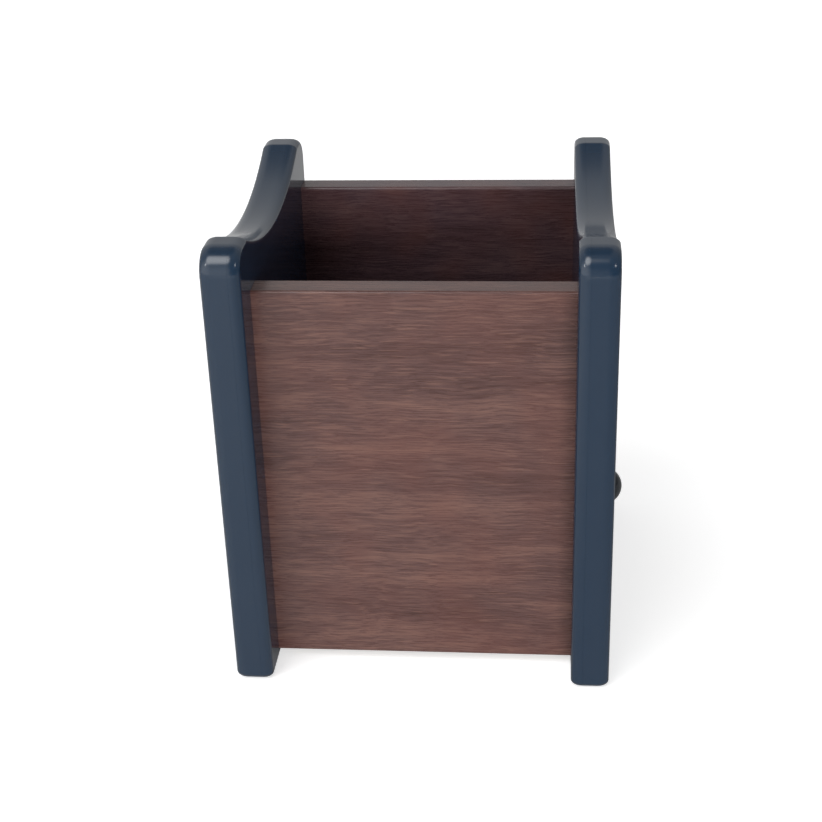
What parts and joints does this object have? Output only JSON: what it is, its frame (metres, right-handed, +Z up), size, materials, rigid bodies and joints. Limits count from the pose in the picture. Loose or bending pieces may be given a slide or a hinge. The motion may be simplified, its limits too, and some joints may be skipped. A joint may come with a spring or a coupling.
{
  "type": "pen stand with drawer",
  "caption": "Open-topped desk stand for pens: concave-topped plastic side plates, wood-grain boards front and rear, and a small drawer that pulls out sideways by a round knob.",
  "frame": {"origin": "middle of the whole outline on the ground, the knob included", "axes": "+Z up, +X to the side where the drawer opens, +Y to the back"},
  "size_m": [0.1044, 0.103, 0.1223],
  "materials": {
    "gloss_black_plastic": "high-gloss black moulded plastic",
    "wood_grain_board": "board faced with dark brown wood-grain film, satin",
    "dark_board": "thin board faced with black film",
    "matte_black_plastic": "moulded plastic, fine matte",
    "knob_plastic": "glossy black plastic",
    "screw_steel": "zinc-plated steel"
  },
  "bodies": {
    "stand": {"left_side_shell": "gloss_black_plastic", "right_side_shell": "gloss_black_plastic", "left_side_liner": "gloss_black_plastic", "right_side_liner": "gloss_black_plastic", "front_panel": "wood_grain_board", "rear_panel": "wood_grain_board", "compartment_floor": "dark_board", "base_board": "dark_board", "front_runner": "matte_black_plastic", "rear_runner": "matte_black_plastic", "left_panel_screws": "screw_steel", "right_panel_screws": "screw_steel", "floor_screws": "screw_steel", "base_screws": "screw_steel", "runner_screws": "screw_steel"},
    "drawer": {"drawer_tray": "matte_black_plastic", "drawer_front": "wood_grain_board", "drawer_knob": "knob_plastic", "drawer_front_screws": "screw_steel", "knob_screw": "screw_steel"}
  },
  "joints": [
    {"name": "drawer_slide", "type": "slide", "parent": "stand", "child": "drawer", "axis": [1, 0, 0], "range_m": [0, 0.0557]}
  ]
}
